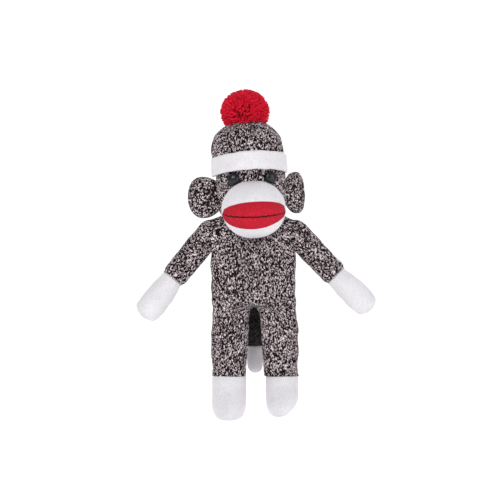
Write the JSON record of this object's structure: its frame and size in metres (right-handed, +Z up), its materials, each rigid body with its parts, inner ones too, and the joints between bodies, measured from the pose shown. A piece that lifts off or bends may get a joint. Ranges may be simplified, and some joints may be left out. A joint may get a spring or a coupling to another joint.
{
  "type": "stuffed monkey",
  "caption": "Knitted stuffed monkey with hat, pom-pom, round muzzle and lips; head turns and nods, arms, legs, ears and tail bend at their seams.",
  "frame": {"origin": "on the floor, under the middle of the toy's overall width and depth, level with its soles", "axes": "+Z up, the toy faces -Y, and +X is the toy's own left side"},
  "size_m": [0.2904, 0.1161, 0.4038],
  "materials": {
    "brown_marl_knit": "wool-like marled yarn of dark brown and off-white, knitted in rows of small V stitches",
    "white_knit": "fine off-white knit",
    "red_knit": "fine red knit",
    "black_thread": "black sewing yarn",
    "brown_thread": "dark brown sewing thread",
    "red_yarn": "soft cut red yarn",
    "fibre_fill": "white polyester fibre",
    "black_plastic": "polished black dome",
    "washer_plastic": "plain moulded plastic"
  },
  "bodies": {
    "trunk": {"torso_skin": "brown_marl_knit", "torso_stuffing": "fibre_fill", "back_seam_stitches": "brown_thread"},
    "neck": {"neck_stuffing": "fibre_fill"},
    "head": {"head_skin": "brown_marl_knit", "head_stuffing": "fibre_fill", "muzzle_skin": "white_knit", "muzzle_stuffing": "fibre_fill", "lips": "red_knit", "mouth_thread": "black_thread", "eye_left": "black_plastic", "eye_right": "black_plastic", "eye_washer_left": "washer_plastic", "eye_washer_right": "washer_plastic", "hat_crown": "brown_marl_knit", "hat_cuff": "white_knit", "pompom_tie": "red_yarn"},
    "pompom": {"pompom": "red_yarn"},
    "ear_left": {"ear_skin_left": "brown_marl_knit", "ear_stuffing_left": "fibre_fill"},
    "shoulder_left": {"shoulder_stuffing_left": "fibre_fill"},
    "arm_left": {"sleeve_skin_left": "brown_marl_knit", "sleeve_stuffing_left": "fibre_fill"},
    "hand_left": {"hand_skin_left": "white_knit", "hand_stuffing_left": "fibre_fill", "wrist_seam_left": "brown_thread"},
    "leg_left": {"leg_skin_left": "brown_marl_knit", "leg_stuffing_left": "fibre_fill"},
    "foot_left": {"foot_skin_left": "white_knit", "foot_stuffing_left": "fibre_fill", "ankle_seam_left": "brown_thread"},
    "ear_right": {"ear_skin_right": "brown_marl_knit", "ear_stuffing_right": "fibre_fill"},
    "shoulder_right": {"shoulder_stuffing_right": "fibre_fill"},
    "arm_right": {"sleeve_skin_right": "brown_marl_knit", "sleeve_stuffing_right": "fibre_fill"},
    "hand_right": {"hand_skin_right": "white_knit", "hand_stuffing_right": "fibre_fill", "wrist_seam_right": "brown_thread"},
    "leg_right": {"leg_skin_right": "brown_marl_knit", "leg_stuffing_right": "fibre_fill"},
    "foot_right": {"foot_skin_right": "white_knit", "foot_stuffing_right": "fibre_fill", "ankle_seam_right": "brown_thread"},
    "tail": {"tail_skin": "brown_marl_knit", "tail_stuffing": "fibre_fill"},
    "tail_tip": {"tail_tip_skin": "white_knit", "tail_tip_stuffing": "fibre_fill", "tail_seam": "brown_thread"}
  },
  "joints": [
    {"name": "neck_turn", "type": "hinge", "parent": "trunk", "child": "neck", "pos_m": [-0.0015, 0.0095, 0.247], "axis": [0, 0, 1], "range_deg": [-18, 18], "stiffness_Nm_per_rad": 0.4},
    {"name": "head_nod", "type": "hinge", "parent": "neck", "child": "head", "pos_m": [-0.0015, 0.0095, 0.247], "axis": [1, 0, 0], "range_deg": [-15, 3], "stiffness_Nm_per_rad": 1},
    {"name": "pompom_tilt", "type": "hinge", "parent": "head", "child": "pompom", "pos_m": [-0.00837, 0.0095, 0.36981], "axis": [0.9971, 0.0523, 0.0557], "range_deg": [-6, 6], "stiffness_Nm_per_rad": 0.03},
    {"name": "ear_fold_left", "type": "hinge", "parent": "head", "child": "ear_left", "pos_m": [0.04482, 0.01201, 0.27713], "axis": [-0.0558, 0, 0.9984], "range_deg": [-60, 14], "stiffness_Nm_per_rad": 0.01},
    {"name": "ear_fold_right", "type": "hinge", "parent": "head", "child": "ear_right", "pos_m": [-0.0509, 0.00699, 0.27178], "axis": [0.0558, 0, -0.9984], "range_deg": [-40, 40], "stiffness_Nm_per_rad": 0.01},
    {"name": "arm_swing_left", "type": "hinge", "parent": "trunk", "child": "shoulder_left", "pos_m": [0.0505, 0.0095, 0.228], "axis": [-1, 0, 0], "range_deg": [-40, 90], "stiffness_Nm_per_rad": 0.12},
    {"name": "arm_raise_left", "type": "hinge", "parent": "shoulder_left", "child": "arm_left", "pos_m": [0.0505, 0.0095, 0.228], "axis": [0, -1, 0], "range_deg": [-10, 40], "stiffness_Nm_per_rad": 0.12},
    {"name": "wrist_bend_left", "type": "hinge", "parent": "arm_left", "child": "hand_left", "pos_m": [0.09972, 0.0095, 0.17614], "axis": [0, -1, 0], "range_deg": [-20, 20], "stiffness_Nm_per_rad": 0.05},
    {"name": "leg_swing_left", "type": "hinge", "parent": "trunk", "child": "leg_left", "pos_m": [0.0314, 0.0095, 0.128], "axis": [-1, 0, 0], "range_deg": [-18, 90], "stiffness_Nm_per_rad": 0.5},
    {"name": "ankle_bend_left", "type": "hinge", "parent": "leg_left", "child": "foot_left", "pos_m": [0.0314, 0.0095, 0.052], "axis": [-1, 0, 0], "range_deg": [-18, 18], "stiffness_Nm_per_rad": 0.3},
    {"name": "arm_swing_right", "type": "hinge", "parent": "trunk", "child": "shoulder_right", "pos_m": [-0.0535, 0.0095, 0.228], "axis": [-1, 0, 0], "range_deg": [-40, 90], "stiffness_Nm_per_rad": 0.12},
    {"name": "arm_raise_right", "type": "hinge", "parent": "shoulder_right", "child": "arm_right", "pos_m": [-0.0535, 0.0095, 0.228], "axis": [0, 1, 0], "range_deg": [-6, 44], "stiffness_Nm_per_rad": 0.12},
    {"name": "wrist_bend_right", "type": "hinge", "parent": "arm_right", "child": "hand_right", "pos_m": [-0.09908, 0.0095, 0.17291], "axis": [0, 1, 0], "range_deg": [-20, 20], "stiffness_Nm_per_rad": 0.05},
    {"name": "leg_swing_right", "type": "hinge", "parent": "trunk", "child": "leg_right", "pos_m": [-0.0314, 0.0095, 0.128], "axis": [-1, 0, 0], "range_deg": [-18, 90], "stiffness_Nm_per_rad": 0.5},
    {"name": "ankle_bend_right", "type": "hinge", "parent": "leg_right", "child": "foot_right", "pos_m": [-0.0314, 0.0095, 0.052], "axis": [-1, 0, 0], "range_deg": [-18, 18], "stiffness_Nm_per_rad": 0.3},
    {"name": "tail_lift", "type": "hinge", "parent": "trunk", "child": "tail", "pos_m": [0.0014, 0.048, 0.146], "axis": [1, 0, 0], "range_deg": [0, 90], "stiffness_Nm_per_rad": 0.01},
    {"name": "tail_tip_bend", "type": "hinge", "parent": "tail", "child": "tail_tip", "pos_m": [0.0014, 0.048, 0.09], "axis": [1, 0, 0], "range_deg": [-8, 20], "stiffness_Nm_per_rad": 0.005}
  ]
}
